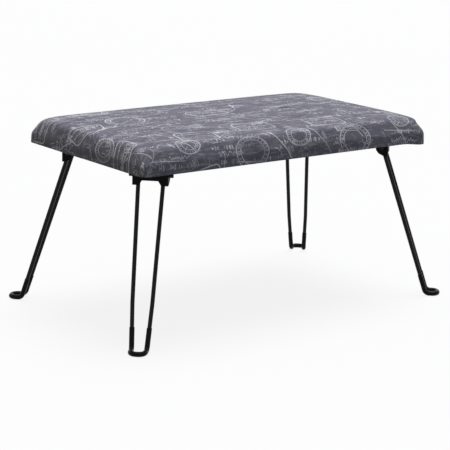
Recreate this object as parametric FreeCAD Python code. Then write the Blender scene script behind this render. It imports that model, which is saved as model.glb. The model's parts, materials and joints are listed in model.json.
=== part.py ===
"""Folding bench: padded seat on a board, four hairpin legs that fold on stamped brackets.

World frame: X along the length, Y along the depth, Z up, origin on the floor under the centre.
The front is at -Y and the left is at -X. All lengths are in millimetres.
"""
import os
import math
import FreeCAD, Part
from FreeCAD import Vector

# Overall sizes
LENGTH = 787.0
DEPTH = 457.0
HEIGHT = 432.0
SEAT_DEEP = 67.0

# Seat build-up
BOARD_THICK = 12.0
COVER_THICK = 1.2
LINING_THICK = 0.6
BOARD_GAP = 1.0
HEM_WIDE = 25.0
HEM_CORNER_R = 6.0
LINING_INSET = 15.0
LINING_CORNER_R = 8.0
LINING_GAP = 0.1
CORNER_R = 14.0

# Legs
ROD_DIA = 9.0
SLEEVE_WALL = 1.0
SLEEVE_RISE = 47.0
PIVOT_DROP = 14.0
PIVOT_INSET_X = 70.0
PIVOT_INSET_Y = 71.0
SPLAY = 115.0
FOOT_LONG = 27.5
HALF_TOP = 26.8
HALF_HEEL = 16.0
PIVOT_TIP = 47.0
PIVOT_BEND_R = 8.0
HEEL_BEND_R = 12.0
TOE_BEND_R = 13.5
KNEE_SHARE = 0.73
KNEE_DRAW = 5.8
HALF_TOE = 14.6
TIP_START = 35.0
OVERLAP = 1.0
SLEEVE_FIT = 0.02
BEND_STEPS = 3
ROD_SIDES = 16
SLEEVE_SIDES = 12

# Brackets
PLATE_THICK = 2.0
EAR_INNER = 36.0
WALL_DROP = 24.0
LIP_DROP = 34.0
LIP_HALF_IN = 23.2
LIP_SLANT = 6.0
EAR_BACK = 16.0
PLATE_BACK = 36.0
PLATE_TRIM = 4.0
EAR_BEND_R = 1.8
HOLE_GAP = 0.06
STOP_GAP = 0.30
# Lower edge of an ear, from its foot to its back: outward from the pivot, up from the foot
EAR_EDGE = [(5.0, 0.0), (-8.0, 6.5), (-13.0, 13.0), (-EAR_BACK, 21.0)]

# Fasteners
SCREW_DIA = 4.0
SCREW_HEAD = 8.0
SCREW_HEAD_H = 2.6
SCREW_LONG = 9.0
SCREW_HOLE_GAP = 0.3
PILOT_GAP = 0.02
SHANK_SIDES = 8

HALF_X = LENGTH / 2.0
HALF_Y = DEPTH / 2.0
SEAT_Z = HEIGHT - SEAT_DEEP
BOARD_Z = SEAT_Z + COVER_THICK
FOAM_Z = BOARD_Z + BOARD_THICK
BRACKET_Z = BOARD_Z - LINING_THICK
PIVOT_Z = SEAT_Z - PIVOT_DROP
ROD_R = ROD_DIA / 2.0
SLEEVE_R = ROD_R + SLEEVE_WALL
HEEL_Z = SLEEVE_R

# Each corner: name, sign along X, sign along Y
CORNERS = [
    ("front_left", -1, -1),
    ("front_right", 1, -1),
    ("back_left", -1, 1),
    ("back_right", 1, 1),
]


def rect_wire(half_x, half_y, radius, z):
    """Rectangle with rounded corners, the same eight edges at every size."""
    edges = []
    centres = [
        (half_x - radius, half_y - radius, 0.0),
        (radius - half_x, half_y - radius, 90.0),
        (radius - half_x, radius - half_y, 180.0),
        (half_x - radius, radius - half_y, 270.0),
    ]
    ends = []
    for cx, cy, start in centres:
        pts = []
        for step in (0.0, 45.0, 90.0):
            ang = math.radians(start + step)
            pts.append(Vector(cx + radius * math.cos(ang), cy + radius * math.sin(ang), z))
        edges.append(Part.Arc(pts[0], pts[1], pts[2]).toShape())
        ends.append((pts[0], pts[2]))
    sides = []
    for i in range(4):
        sides.append(Part.makeLine(ends[i][1], ends[(i + 1) % 4][0]))
    ordered = []
    for i in range(4):
        ordered.append(edges[i])
        ordered.append(sides[i])
    return Part.Wire(ordered)


def plate(half_x, half_y, radius, z0, z1):
    """Flat sheet with rounded corners between two heights."""
    face = Part.Face(rect_wire(half_x, half_y, radius, z0))
    return face.extrude(Vector(0, 0, z1 - z0))


# Seat outline by height: share of the seat's height, inset along X, inset along Y, corner radius
# Straight up past the board, then leaning in over the foam to a soft shoulder and a low crown.
SHELL = [
    (0.000, 1.5, 1.5, CORNER_R - 1.5),
    (0.037, 0.0, 0.0, CORNER_R),
    (0.270, 0.5, 0.5, CORNER_R),
    (0.420, 2.5, 2.5, CORNER_R + 1.0),
    (0.570, 6.0, 6.0, CORNER_R + 3.0),
    (0.700, 9.5, 10.5, CORNER_R + 6.0),
    (0.810, 12.5, 15.0, CORNER_R + 12.0),
    (0.880, 16.0, 21.0, CORNER_R + 20.0),
    (0.925, 24.0, 34.0, CORNER_R + 26.0),
    (0.965, 50.0, 70.0, CORNER_R + 26.0),
    (0.990, 90.0, 115.0, CORNER_R + 20.0),
    (1.000, 140.0, 155.0, CORNER_R + 16.0),
]

# The surface faces upward above this share of the height, fully so above the second
LEAN_SHARE = 0.5
FLAT_SHARE = 0.9

# Rolled-over ends along the length: inset from the end, share of the seat's height
END_ROLL = [
    (0.0, 0.28), (3.0, 0.48), (8.0, 0.655), (13.0, 0.755), (22.0, 0.825), (40.0, 0.875),
    (70.0, 0.918), (110.0, 0.955), (170.0, 0.985), (240.0, 1.01),
]
# Room that the end outline keeps outside the seat where it doesn't cut it
CLEAR = 5.0


def cushion(inset):
    """Outside form of the padded seat, or a layer lying inset below that surface."""
    wires = []
    for share, in_x, in_y, radius in SHELL:
        lean = max(0.0, min(1.0, (share - LEAN_SHARE) / (FLAT_SHARE - LEAN_SHARE)))
        z = SEAT_Z + share * SEAT_DEEP - inset * lean
        wires.append(rect_wire(HALF_X - in_x - inset, HALF_Y - in_y - inset, radius - inset, z))
    body = Part.makeLoft(wires, True, True)
    reach = HALF_Y + CLEAR
    outside = HALF_X + CLEAR - inset
    pts = [Vector(outside, -reach, SEAT_Z - CLEAR)]
    pts.append(Vector(outside, -reach, SEAT_Z + END_ROLL[0][1] * SEAT_DEEP - CLEAR))
    for back, share in END_ROLL:
        drop = inset * min(1.0, share)
        pts.append(Vector(HALF_X - back - inset, -reach, SEAT_Z + share * SEAT_DEEP - drop))
    mirrored = []
    for p in reversed(pts):
        mirrored.append(Vector(-p.x, p.y, p.z))
    outline = Part.makePolygon(pts + mirrored + [pts[0]])
    prism = Part.Face(outline).extrude(Vector(0, 2.0 * reach, 0))
    return body.common(prism)


def local_to_world(shape, sx, sy):
    """Turn a shape made on +X about the pivot to its corner of the seat."""
    placed = shape.copy()
    turn = math.degrees(math.atan2(sy, sx))
    placed.rotate(Vector(0, 0, 0), Vector(0, 0, 1), turn)
    placed.translate(Vector(sx * (HALF_X - PIVOT_INSET_X), sy * (HALF_Y - PIVOT_INSET_Y), 0))
    return placed


# Screw places on the bracket: outward, sideways
SCREW_AT = [(-27.0, -20.0), (-27.0, 20.0), (-3.0, 0.0)]


def make_bracket():
    """One stamped bracket: flat base, outer wall with two stop lips, two pierced ears."""
    t = PLATE_THICK
    top = BRACKET_Z
    splay_angle = math.atan2(SPLAY, PIVOT_Z - HEEL_Z)
    lip_z = SEAT_Z - LIP_DROP
    lean = (PIVOT_Z - lip_z) * math.tan(splay_angle) + ROD_R / math.cos(splay_angle)
    wall_in = lean + STOP_GAP
    wall_out = wall_in + t
    ear_out = EAR_INNER + t
    # Base sheet with its inner corners drawn in
    pts = [
        Vector(wall_out, -ear_out, top - t),
        Vector(wall_out, ear_out, top - t),
        Vector(-EAR_BACK, ear_out, top - t),
        Vector(-PLATE_BACK, EAR_INNER - PLATE_TRIM, top - t),
        Vector(-PLATE_BACK, PLATE_TRIM - EAR_INNER, top - t),
        Vector(-EAR_BACK, -ear_out, top - t),
    ]
    base = Part.Face(Part.makePolygon(pts + [pts[0]])).extrude(Vector(0, 0, t))
    # Outer wall, deeper at both ends where the lips stop the rods
    wall_z = SEAT_Z - WALL_DROP
    pts = [
        Vector(wall_in, -ear_out, top),
        Vector(wall_in, -ear_out, lip_z),
        Vector(wall_in, -LIP_HALF_IN, lip_z),
        Vector(wall_in, LIP_SLANT - LIP_HALF_IN, wall_z),
        Vector(wall_in, LIP_HALF_IN - LIP_SLANT, wall_z),
        Vector(wall_in, LIP_HALF_IN, lip_z),
        Vector(wall_in, ear_out, lip_z),
        Vector(wall_in, ear_out, top),
    ]
    wall = Part.Face(Part.makePolygon(pts + [pts[0]])).extrude(Vector(t, 0, 0))
    # Ears: upright at the outside, cut back along a slant at the inside
    parts = [base, wall]
    for side in (-1, 1):
        y0 = EAR_INNER if side > 0 else -ear_out
        pts = [Vector(-EAR_BACK, y0, top), Vector(wall_out, y0, top), Vector(wall_out, y0, lip_z)]
        for x, rise in EAR_EDGE:
            pts.append(Vector(x, y0, lip_z + rise))
        ear = Part.Face(Part.makePolygon(pts + [pts[0]])).extrude(Vector(0, t, 0))
        parts.append(ear)
    body = parts[0].multiFuse(parts[1:]).removeSplitter()
    # Rounded bends where the ears meet the outer wall
    bends = []
    for edge in body.Edges:
        a = edge.Vertexes[0].Point
        b = edge.Vertexes[-1].Point
        upright = abs(a.x - b.x) < 1e-6 and abs(a.y - b.y) < 1e-6
        outer = abs(a.x - wall_out) < 1e-6 and abs(abs(a.y) - ear_out) < 1e-6
        if upright and outer:
            bends.append(edge)
    body = body.makeFillet(EAR_BEND_R, bends)
    # Pivot holes in the ears and screw holes in the base
    start = Vector(0, -ear_out - t, PIVOT_Z)
    body = body.cut(Part.makeCylinder(ROD_R + HOLE_GAP, 2.0 * (ear_out + t), start, Vector(0, 1, 0)))
    hole_r = SCREW_DIA / 2.0 + SCREW_HOLE_GAP
    for x, y in SCREW_AT:
        body = body.cut(sided_bar(x, y, hole_r, SHANK_SIDES, top - 2.0 * t, top + t))
    return body


def sided_bar(x, y, radius, sides, z0, z1):
    """Upright many-sided bar, a light form of a small round fastener or of its pilot hole."""
    pts = []
    for k in range(sides + 1):
        ang = 2.0 * math.pi * (k + 0.5) / sides
        pts.append(Vector(x + radius * math.cos(ang), y + radius * math.sin(ang), z0))
    return Part.Face(Part.makePolygon(pts)).extrude(Vector(0, 0, z1 - z0))


def make_screw(x, y):
    """Pan-head wood screw driven up through the base into the board."""
    under = BRACKET_Z - PLATE_THICK
    head = sided_bar(x, y, SCREW_HEAD / 2.0, ROD_SIDES, under - SCREW_HEAD_H, under)
    tip_z = under + PLATE_THICK + SCREW_LONG
    shank = sided_bar(x, y, SCREW_DIA / 2.0, SHANK_SIDES, under, tip_z)
    return head.fuse(shank)


def eased(points, radii, steps):
    """Points of a path, each corner with a radius laid out as a bend in a few short chords."""
    path = [points[0]]
    for i in range(1, len(points) - 1):
        radius = radii[i - 1]
        if radius == 0.0:
            path.append(points[i])
            continue
        before = (points[i - 1] - points[i]).normalize()
        after = (points[i + 1] - points[i]).normalize()
        angle = before.getAngle(after)
        middle = (before + after).normalize()
        centre = points[i] + middle * (radius / math.sin(angle / 2.0))
        turn = math.pi - angle
        side = (after - before).normalize()
        for k in range(steps + 1):
            swing = turn * (k / steps - 0.5)
            path.append(centre - middle * (radius * math.cos(swing)) + side * (radius * math.sin(swing)))
    path.append(points[-1])
    return path


def facet_bar(path, radius, sides):
    """Many-sided bar along a path, mitred where it turns, with a flat side down at its middle."""
    half = len(path) // 2
    heading = (path[half] - path[half - 1]).normalize()
    up = Vector(0, 0, 1)
    out = up.cross(heading)
    corner_r = radius / math.cos(math.pi / sides)
    start = []
    for k in range(sides):
        ang = 2.0 * math.pi * (k + 0.5) / sides
        start.append(path[half] + out * (corner_r * math.cos(ang)) + up * (corner_r * math.sin(ang)))
    rings = {}
    last = len(path) - 1
    for order, back in ((range(half, last + 1), -1), (range(half - 1, -1, -1), 1)):
        pts = start
        for i in order:
            along = (path[i] - path[i + back]).normalize()
            mitre = along
            if 0 < i < last:
                mitre = (path[i] - path[i - 1]).normalize() + (path[i + 1] - path[i]).normalize()
            moved = []
            for p in pts:
                moved.append(p + along * ((path[i] - p).dot(mitre) / along.dot(mitre)))
            pts = moved
            rings[i] = pts
    faces = [Part.Face(Part.makePolygon(rings[i] + [rings[i][0]])) for i in (0, last)]
    for i in range(last):
        for k in range(sides):
            n = (k + 1) % sides
            quad = [rings[i][k], rings[i][n], rings[i + 1][n], rings[i + 1][k], rings[i][k]]
            faces.append(Part.Face(Part.makePolygon(quad)))
    return Part.makeSolid(Part.makeShell(faces))


def leg_points():
    """Corner points of the bent rod from one pivot tip's foot, round the floor, to the other's."""
    knee_z = PIVOT_Z - KNEE_SHARE * (PIVOT_Z - HEEL_Z)
    side = [
        Vector(0, TIP_START + OVERLAP, PIVOT_Z),
        Vector(0, HALF_TOP, PIVOT_Z),
        Vector(KNEE_SHARE * SPLAY, HALF_TOP - KNEE_DRAW, knee_z),
        Vector(SPLAY, HALF_HEEL, HEEL_Z),
        Vector(SPLAY + FOOT_LONG, HALF_TOE, HEEL_Z),
    ]
    radii = [PIVOT_BEND_R, 0.0, HEEL_BEND_R, TOE_BEND_R]
    points = list(side)
    for p in reversed(side):
        points.append(Vector(p.x, -p.y, p.z))
    return points, radii + list(reversed(radii))


def make_leg():
    """Hairpin leg bent from one rod, its tips turned outward as round pivots."""
    points, radii = leg_points()
    path = eased(points, radii, BEND_STEPS)
    bar = facet_bar(path, ROD_R * math.cos(math.pi / ROD_SIDES), ROD_SIDES)
    tips = []
    for side in (-1, 1):
        foot = Vector(0, side * TIP_START, PIVOT_Z)
        tips.append(Part.makeCylinder(ROD_R, PIVOT_TIP - TIP_START, foot, Vector(0, side, 0)))
    return bar.multiFuse(tips)


def make_sleeve():
    """Soft tube drawn over the foot loop and a little way up both rods."""
    points, radii = leg_points()
    inner = points[2:-2]
    start = inner[1] + (inner[0] - inner[1]).normalize() * SLEEVE_RISE
    end = inner[-2] + (inner[-1] - inner[-2]).normalize() * SLEEVE_RISE
    path = eased([start] + inner[1:-1] + [end], radii[2:-2], BEND_STEPS)
    bore = facet_bar(path, ROD_R + SLEEVE_FIT, SLEEVE_SIDES)
    return facet_bar(path, SLEEVE_R, SLEEVE_SIDES).cut(bore)


def save(name, shape):
    shape.exportStep("parts/" + name + ".step")


def main():
    os.makedirs("parts", exist_ok=True)

    # Board, foam over it, and the cover round both and turned under
    skin = COVER_THICK + BOARD_GAP
    board = plate(HALF_X - skin, HALF_Y - skin, CORNER_R - skin, BOARD_Z, FOAM_Z)
    above = Part.makeBox(LENGTH, DEPTH, HEIGHT, Vector(-HALF_X, -HALF_Y, FOAM_Z))
    foam = cushion(COVER_THICK).common(above)
    opening = plate(
        HALF_X - HEM_WIDE, HALF_Y - HEM_WIDE, HEM_CORNER_R, SEAT_Z - COVER_THICK, BOARD_Z)
    cover = cushion(0.0).cut(foam).cut(board).cut(opening)

    # Dust cover: a rim lapped over the hem, stepping up to the board inside it
    rim_z = SEAT_Z - LINING_THICK
    step = HEM_WIDE + LINING_GAP
    rim = plate(HALF_X - LINING_INSET, HALF_Y - LINING_INSET, LINING_CORNER_R, rim_z, SEAT_Z)
    tray = plate(HALF_X - step, HALF_Y - step, HEM_CORNER_R, rim_z, BOARD_Z)
    step += LINING_THICK
    hollow = plate(
        HALF_X - step, HALF_Y - step, HEM_CORNER_R - LINING_THICK, rim_z - LINING_THICK, BRACKET_Z)
    lining = rim.fuse(tray).removeSplitter().cut(hollow)

    # Legs with their brackets, screws and foot sleeves
    bracket = make_bracket()
    screws = []
    bores = []
    bore_r = SCREW_DIA / 2.0 + PILOT_GAP
    bore_z = BRACKET_Z + SCREW_LONG + PILOT_GAP
    for x, y in SCREW_AT:
        screws.append(make_screw(x, y))
        bores.append(sided_bar(x, y, bore_r, SHANK_SIDES, BRACKET_Z - LINING_THICK, bore_z))
    screw_set = Part.makeCompound(screws)
    bore_set = Part.makeCompound(bores)
    leg = make_leg()
    sleeve = make_sleeve()
    for name, sx, sy in CORNERS:
        save("bracket_" + name, local_to_world(bracket, sx, sy))
        save("bracket_screws_" + name, local_to_world(screw_set, sx, sy))
        save("leg_" + name, local_to_world(leg, sx, sy))
        save("foot_sleeve_" + name, local_to_world(sleeve, sx, sy))
        drilled = local_to_world(bore_set, sx, sy)
        board = board.cut(drilled)
        lining = lining.cut(drilled)
    save("seat_board", board)
    save("foam_pad", foam)
    save("fabric_cover", cover)
    save("dust_cover", lining)


main()
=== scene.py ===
"""Folding bench: the looks of its padded seat, hairpin legs, brackets and small fixings.

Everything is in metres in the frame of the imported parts: X along the length, Y along the
depth, Z up, with the floor at zero. The front is at -Y and the left is at -X.
"""
import json
import math
import random

import bmesh
import bpy
from bpy.props import FloatProperty, FloatVectorProperty, IntProperty, PointerProperty
from mathutils import Matrix, Vector, noise


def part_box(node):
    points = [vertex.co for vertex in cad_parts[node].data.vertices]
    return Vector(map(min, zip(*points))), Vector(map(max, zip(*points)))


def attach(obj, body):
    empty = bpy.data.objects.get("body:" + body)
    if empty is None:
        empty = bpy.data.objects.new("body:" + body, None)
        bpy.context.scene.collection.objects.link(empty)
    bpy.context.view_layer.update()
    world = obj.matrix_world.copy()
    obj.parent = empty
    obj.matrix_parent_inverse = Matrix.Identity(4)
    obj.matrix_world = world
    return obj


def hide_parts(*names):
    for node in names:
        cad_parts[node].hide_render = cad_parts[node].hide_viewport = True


bl_info = {
    "name": "Folding Bench",
    "version": (1, 0, 0),
    "blender": (4, 5, 0),
    "location": "View3D > Sidebar > Bench",
    "description": "Builds the visible pieces of a padded bench with four folding hairpin legs",
    "category": "Add Mesh",
}

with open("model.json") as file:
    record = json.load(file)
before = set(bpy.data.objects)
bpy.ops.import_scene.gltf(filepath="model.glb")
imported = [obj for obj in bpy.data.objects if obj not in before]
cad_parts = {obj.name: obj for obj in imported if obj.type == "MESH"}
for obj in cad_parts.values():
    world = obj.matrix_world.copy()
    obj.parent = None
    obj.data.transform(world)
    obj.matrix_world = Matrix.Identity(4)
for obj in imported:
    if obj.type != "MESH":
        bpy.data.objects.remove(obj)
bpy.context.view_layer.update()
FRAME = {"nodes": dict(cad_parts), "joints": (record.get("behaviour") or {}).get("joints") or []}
MM = 0.001

COVER_LO, COVER_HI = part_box("fabric_cover")
BOARD_LO, BOARD_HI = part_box("seat_board")
LINING_LO, LINING_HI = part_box("dust_cover")
HALF_X, HALF_Y = COVER_HI.x, COVER_HI.y
SEAT_LOW = COVER_LO.z
# Room under the solid cover's crown, which the foam's push takes up
CROWN_ROOM = 0.8 * MM


def linear(hex_colour):
    """Linear colour with full alpha from an sRGB hex value."""
    shades = []
    for place in (1, 3, 5):
        share = int(hex_colour[place:place + 2], 16) / 255
        shades.append(share / 12.92 if share <= 0.04045 else ((share + 0.055) / 1.055) ** 2.4)
    return (*shades, 1.0)


def seat_corners():
    """Each corner of the seat: its name, signs along X and Y, and its leg's pivot point."""
    corners = []
    for joint in FRAME["joints"]:
        pivot = Vector(joint["pos_m"])
        name = joint["child"].removesuffix("_leg")
        corners.append((name, math.copysign(1, pivot.x), math.copysign(1, pivot.y), pivot))
    return corners


CORNERS = seat_corners()


class SeatSizes(bpy.types.PropertyGroup):
    """Sizes of the padded seat and its dust cover."""

    loop: FloatProperty(
        name="Cloth loop", description="Spacing of the loops that model the padded seat",
        default=6 * MM, min=3 * MM, subtype="DISTANCE")
    deep: FloatProperty(
        name="Crown",
        description="Height of the crown above the seat's lower edge, before the foam's push",
        default=COVER_HI.z - COVER_LO.z - CROWN_ROOM, subtype="DISTANCE")
    corner: FloatProperty(
        name="Corner radius", description="Rounding of the seat's upright corners",
        default=14 * MM, subtype="DISTANCE")
    hem: FloatProperty(
        name="Hem", description="Width of the cover that is turned under the board",
        default=25 * MM, subtype="DISTANCE")
    skin: FloatProperty(
        name="Skin", description="Distance from the seat's outside to the board's edge",
        default=2 * MM, subtype="DISTANCE")
    gap: FloatProperty(
        name="Gap", description="Air left between the cover and the board",
        default=0.05 * MM, subtype="DISTANCE")
    swell: FloatProperty(
        name="Swell", description="How far the foam may push the cover out while it settles",
        default=5 * MM, subtype="DISTANCE")
    slack: FloatProperty(
        name="Dust cover slack", description="Sag of the dust cover between its staples",
        default=0.7 * MM, subtype="DISTANCE")


class LegSizes(bpy.types.PropertyGroup):
    """Sizes of the bent rod legs and their foot sleeves."""

    rod: FloatProperty(
        name="Rod", description="Diameter of the steel rod", default=9 * MM, subtype="DISTANCE")
    sides: IntProperty(
        name="Rod sides", description="Faces round the rod", default=24, min=8)
    splay: FloatProperty(
        name="Splay", description="How far the heel stands outside the pivot",
        default=115 * MM, subtype="DISTANCE")
    foot: FloatProperty(
        name="Foot", description="Length of the foot loop on the floor",
        default=27.5 * MM, subtype="DISTANCE")
    half_top: FloatProperty(
        name="Half width at the pivot",
        description="Half the distance between the rods at the top",
        default=26.8 * MM, subtype="DISTANCE")
    half_knee: FloatProperty(
        name="Half width at the knee", description="Half the distance between the rods low down",
        default=21 * MM, subtype="DISTANCE")
    knee: FloatProperty(
        name="Knee", description="Share of the leg's length above the knee",
        default=0.73, min=0.1, max=0.95, subtype="FACTOR")
    half_heel: FloatProperty(
        name="Half width at the heel", description="Half the distance between the heels",
        default=16 * MM, subtype="DISTANCE")
    half_toe: FloatProperty(
        name="Half width at the toe", description="Half the width of the foot loop at its toe",
        default=14.6 * MM, subtype="DISTANCE")
    tip: FloatProperty(
        name="Pivot tip", description="Distance from the leg's middle to the end of a pivot tip",
        default=47 * MM, subtype="DISTANCE")
    sleeve_wall: FloatProperty(
        name="Sleeve wall", description="Wall of the soft foot sleeve",
        default=1 * MM, subtype="DISTANCE")
    sleeve_rise: FloatProperty(
        name="Sleeve rise", description="How far the sleeve reaches up each rod",
        default=47 * MM, subtype="DISTANCE")


class FixingSizes(bpy.types.PropertyGroup):
    """Sizes of the brackets' edges, the screws and the staples."""

    edge: FloatProperty(
        name="Pressed edge", description="Rounding of the brackets' sheared edges",
        default=0.4 * MM, subtype="DISTANCE")
    head: FloatProperty(
        name="Screw head", description="Diameter of a screw head", default=8 * MM,
        subtype="DISTANCE")
    staple: FloatProperty(
        name="Staple", description="Length of a staple's crown", default=10 * MM,
        subtype="DISTANCE")
    pitch: FloatProperty(
        name="Staple pitch", description="Distance from staple to staple", default=42 * MM,
        subtype="DISTANCE")


class FinishColours(bpy.types.PropertyGroup):
    """Colours of the cloth, its print, the legs and the floor."""

    cloth: FloatVectorProperty(
        name="Cloth", description="Main colour of the woven cover", size=4,
        default=linear("#656370"), subtype="COLOR")
    slub: FloatVectorProperty(
        name="Slub", description="Paler threads of the cover", size=4,
        default=linear("#8a8896"), subtype="COLOR")
    chalk: FloatVectorProperty(
        name="Chalk print", description="Colour of the printed strokes", size=4,
        default=linear("#eeeef4"), subtype="COLOR")
    black: FloatVectorProperty(
        name="Black finish", description="Colour of the legs' coating", size=4,
        default=linear("#09090a"), subtype="COLOR")
    floor: FloatVectorProperty(
        name="Floor", description="Colour of the studio floor", size=4,
        default=linear("#fbfbfb"), subtype="COLOR")


class StageSizes(bpy.types.PropertyGroup):
    """Camera and light of the studio."""

    camera: FloatVectorProperty(
        name="Camera", description="Camera position", size=3,
        default=(-2.1656, -2.8641, 1.0462), subtype="TRANSLATION")
    heading: FloatProperty(
        name="Heading", description="Camera heading, turned from +Y towards +X",
        default=math.radians(36.96), subtype="ANGLE")
    dip: FloatProperty(
        name="Dip", description="How far the camera looks down",
        default=math.radians(13.73), subtype="ANGLE")
    roll: FloatProperty(
        name="Roll", description="Turn of the camera about its own axis",
        default=math.radians(1.21), subtype="ANGLE")
    lens: FloatProperty(
        name="Lens", description="Focal length in millimetres on a 36 mm sensor",
        default=128.6, min=10.0)
    key: FloatProperty(
        name="Key light", description="Strength of the soft overhead light", default=2.2)
    fill: FloatProperty(
        name="Fill light", description="Strength of the light from all round", default=0.3)


class BenchSettings(bpy.types.PropertyGroup):
    """All the bench's settings."""

    seat: PointerProperty(type=SeatSizes, name="Seat", description="Sizes of the seat")
    leg: PointerProperty(type=LegSizes, name="Legs", description="Sizes of the legs")
    fixing: PointerProperty(type=FixingSizes, name="Fixings", description="Sizes of the fixings")
    colour: PointerProperty(type=FinishColours, name="Colours", description="Colours")
    stage: PointerProperty(type=StageSizes, name="Stage", description="Camera and light")


# Meshes and objects

def smoothstep(low, high, value):
    """Share from 0 to 1 as value goes from low to high, with soft ends."""
    share = min(1.0, max(0.0, (value - low) / (high - low)))
    return share * share * (3 - 2 * share)


def read_table(table, value):
    """Value read from a table of (place, amount) pairs, straight between them."""
    if value <= table[0][0]:
        return table[0][1]
    for (x0, y0), (x1, y1) in zip(table, table[1:]):
        if value <= x1:
            return y0 + (y1 - y0) * (value - x0) / (x1 - x0)
    return table[-1][1]


def new_object(name, bm, smooth_angle=35):
    """Object from a bmesh, shaded smooth except over sharp edges."""
    mesh = bpy.data.meshes.new(name)
    for face in bm.faces:
        face.smooth = True
    limit = math.radians(smooth_angle)
    for edge in bm.edges:
        edge.smooth = len(edge.link_faces) == 2 and edge.calc_face_angle(0.0) < limit
    bm.to_mesh(mesh)
    bm.free()
    obj = bpy.data.objects.new(name, mesh)
    bpy.context.scene.collection.objects.link(obj)
    return obj


def settle(obj):
    """Make the object's modifiers part of its mesh."""
    bpy.context.view_layer.update()
    done = obj.evaluated_get(bpy.context.evaluated_depsgraph_get())
    mesh = bpy.data.meshes.new_from_object(done)
    obj.modifiers.clear()
    obj.data = mesh


def bevel_later(obj, width, angle=30):
    """Bevel modifier over the object's hard edges."""
    mod = obj.modifiers.new("rounded edges", "BEVEL")
    mod.width = width
    mod.segments = 2
    mod.limit_method = "ANGLE"
    mod.angle_limit = math.radians(angle)


def finish_piece(obj, body, slot, material, *nodes):
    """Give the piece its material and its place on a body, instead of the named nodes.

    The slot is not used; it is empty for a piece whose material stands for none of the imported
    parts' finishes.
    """
    obj.data.materials.clear()
    obj.data.materials.append(material)
    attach(obj, body)
    if nodes:
        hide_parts(*nodes)


# Materials

def add_node(tree, kind, inputs=None, **settings):
    """Add a node with its settings, and set or link its inputs by name or number."""
    node = tree.nodes.new(kind)
    for name, value in settings.items():
        setattr(node, name, value)
    for key, value in (inputs or {}).items():
        if isinstance(value, bpy.types.NodeSocket):
            tree.links.new(value, node.inputs[key])
        else:
            node.inputs[key].default_value = value
    return node


def start_material(name):
    """New material with an empty node tree."""
    mat = bpy.data.materials.new(name)
    mat.use_nodes = True
    mat.node_tree.nodes.clear()
    return mat, mat.node_tree


def close_material(tree, shader_inputs):
    """End a material's tree with a Principled shader, its inputs set or linked by name."""
    shader = add_node(tree, "ShaderNodeBsdfPrincipled", shader_inputs)
    add_node(tree, "ShaderNodeOutputMaterial", {"Surface": shader.outputs[0]})


def coated_steel(name, colour, shine, roughness, peel_mm, depth_mm):
    """Steel with a black skin: even and satin, with a faint orange peel and paler worn patches."""
    mat, tree = start_material(name)
    place = add_node(tree, "ShaderNodeTexCoord").outputs["Object"]
    peel = add_node(tree, "ShaderNodeTexNoise", {
        "Vector": place, "Scale": 1 / (peel_mm * MM), "Detail": 2.0})
    patch = add_node(tree, "ShaderNodeTexNoise", {
        "Vector": place, "Scale": 1 / (35 * MM), "Detail": 3.0})
    paler = [min(1.0, shade * 1.7) for shade in colour[:3]] + [1.0]
    tone = add_node(tree, "ShaderNodeMix", {
        "Factor": patch.outputs["Fac"], "A": colour, "B": paler}, data_type="RGBA")
    gloss = add_node(tree, "ShaderNodeMapRange", {
        "Value": patch.outputs["Fac"], "To Min": roughness - 0.07, "To Max": roughness + 0.09})
    bump = add_node(tree, "ShaderNodeBump", {
        "Height": peel.outputs["Fac"], "Strength": 0.35, "Distance": depth_mm * MM})
    close_material(tree, {
        "Base Color": tone.outputs["Result"], "Roughness": gloss.outputs[0], "IOR": 1.5,
        "Specular IOR Level": shine, "Normal": bump.outputs[0]})
    return mat


def soft_vinyl():
    """Dip-moulded vinyl: blacker and glossier than the rod, with faint flow ripples and scuffs."""
    mat, tree = start_material("Soft vinyl, dip moulded")
    place = add_node(tree, "ShaderNodeTexCoord").outputs["Object"]
    flow = add_node(tree, "ShaderNodeTexNoise", {
        "Vector": place, "Scale": 1 / (6 * MM), "Detail": 2.0, "Distortion": 0.6})
    scuff = add_node(tree, "ShaderNodeTexNoise", {
        "Vector": place, "Scale": 1 / (1.5 * MM), "Detail": 4.0})
    worn = add_node(tree, "ShaderNodeMapRange", {
        "Value": scuff.outputs["Fac"], "From Min": 0.6, "From Max": 0.75, "To Max": 0.15})
    tone = add_node(tree, "ShaderNodeMix", {
        "Factor": worn.outputs[0], "A": linear("#050505"), "B": linear("#3a3a3d")},
        data_type="RGBA")
    gloss = add_node(tree, "ShaderNodeMapRange", {
        "Value": flow.outputs["Fac"], "To Min": 0.16, "To Max": 0.3})
    bump = add_node(tree, "ShaderNodeBump", {
        "Height": flow.outputs["Fac"], "Strength": 0.3, "Distance": 0.15 * MM})
    close_material(tree, {
        "Base Color": tone.outputs["Result"], "Roughness": gloss.outputs[0], "IOR": 1.53,
        "Specular IOR Level": 0.08, "Normal": bump.outputs[0]})
    return mat


def plywood():
    """Rotary-peeled plywood: pale wood with long wavering grain along the board."""
    mat, tree = start_material("Poplar plywood, rotary peeled")
    place = add_node(tree, "ShaderNodeTexCoord").outputs["Object"]
    # Grain some 140 mm long and 12 mm wide, in layers some 3 mm thick
    drawn = add_node(tree, "ShaderNodeMapping", {"Vector": place, "Scale": (1.2, 14.0, 60.0)})
    grain = add_node(tree, "ShaderNodeTexNoise", {
        "Vector": drawn.outputs[0], "Scale": 6.0, "Detail": 6.0, "Distortion": 0.8})
    tone = add_node(tree, "ShaderNodeMix", {
        "Factor": grain.outputs["Fac"], "A": linear("#b98f5c"), "B": linear("#e0c292")},
        data_type="RGBA")
    bump = add_node(tree, "ShaderNodeBump", {
        "Height": grain.outputs["Fac"], "Strength": 0.4, "Distance": 0.2 * MM})
    close_material(tree, {
        "Base Color": tone.outputs["Result"], "Roughness": 0.7, "Normal": bump.outputs[0]})
    return mat


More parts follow.
